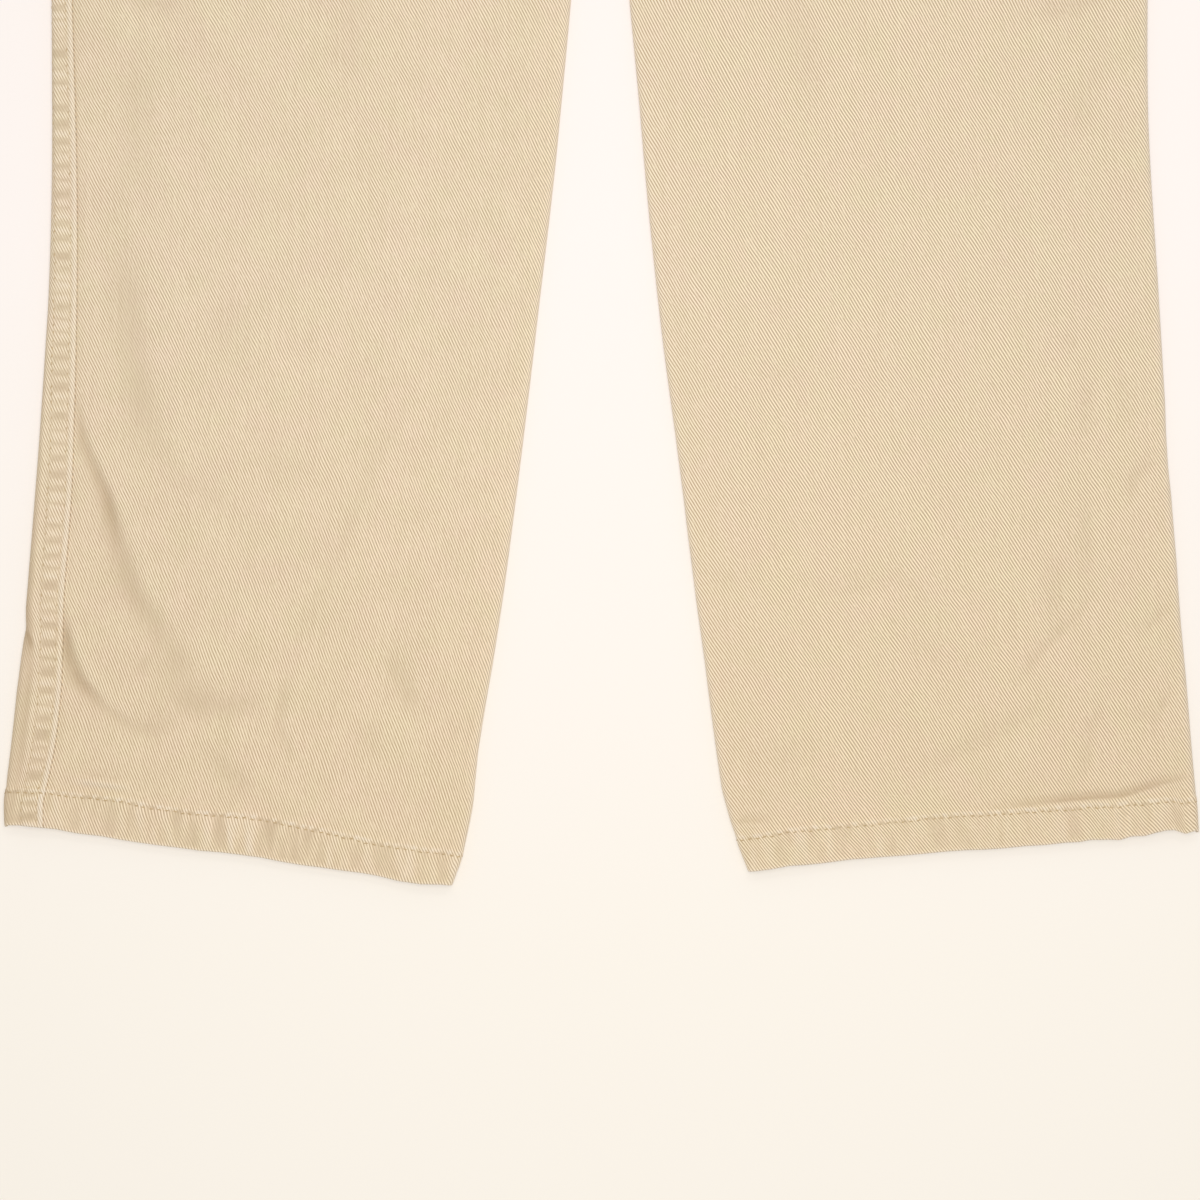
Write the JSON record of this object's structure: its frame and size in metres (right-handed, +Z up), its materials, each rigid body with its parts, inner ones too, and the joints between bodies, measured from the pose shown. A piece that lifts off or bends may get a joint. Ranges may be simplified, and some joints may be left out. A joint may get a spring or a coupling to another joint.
{
  "type": "straight-leg jeans",
  "caption": "Straight-leg jeans in beige cotton twill, laid flat front up, with a felled side seam, topstitched hems, scoop pockets, patch back pockets and a buttoned waistband.",
  "frame": {"origin": "on the surface the garment lies on, under the middle of its bounding box", "axes": "+Y from the hems to the waist, +X to the right seen from above with the waist away, +Z up"},
  "size_m": [0.5281, 1.0569, 0.0114],
  "materials": {
    "twill": "matt beige cotton twill, garment washed",
    "thread": "spun polyester sewing thread, tone on tone",
    "button": "antiqued, satin"
  },
  "bodies": {
    "root": {"front_left": "twill", "front_right": "twill", "back_left": "twill", "back_right": "twill", "yoke_left": "twill", "yoke_right": "twill", "pocket_facing_left": "twill", "pocket_facing_right": "twill", "back_pocket_left": "twill", "back_pocket_right": "twill", "waistband": "twill", "fly": "twill", "belt_loop_1": "twill", "belt_loop_2": "twill", "belt_loop_3": "twill", "belt_loop_4": "twill", "belt_loop_5": "twill", "button": "button"}
  },
  "joints": []
}
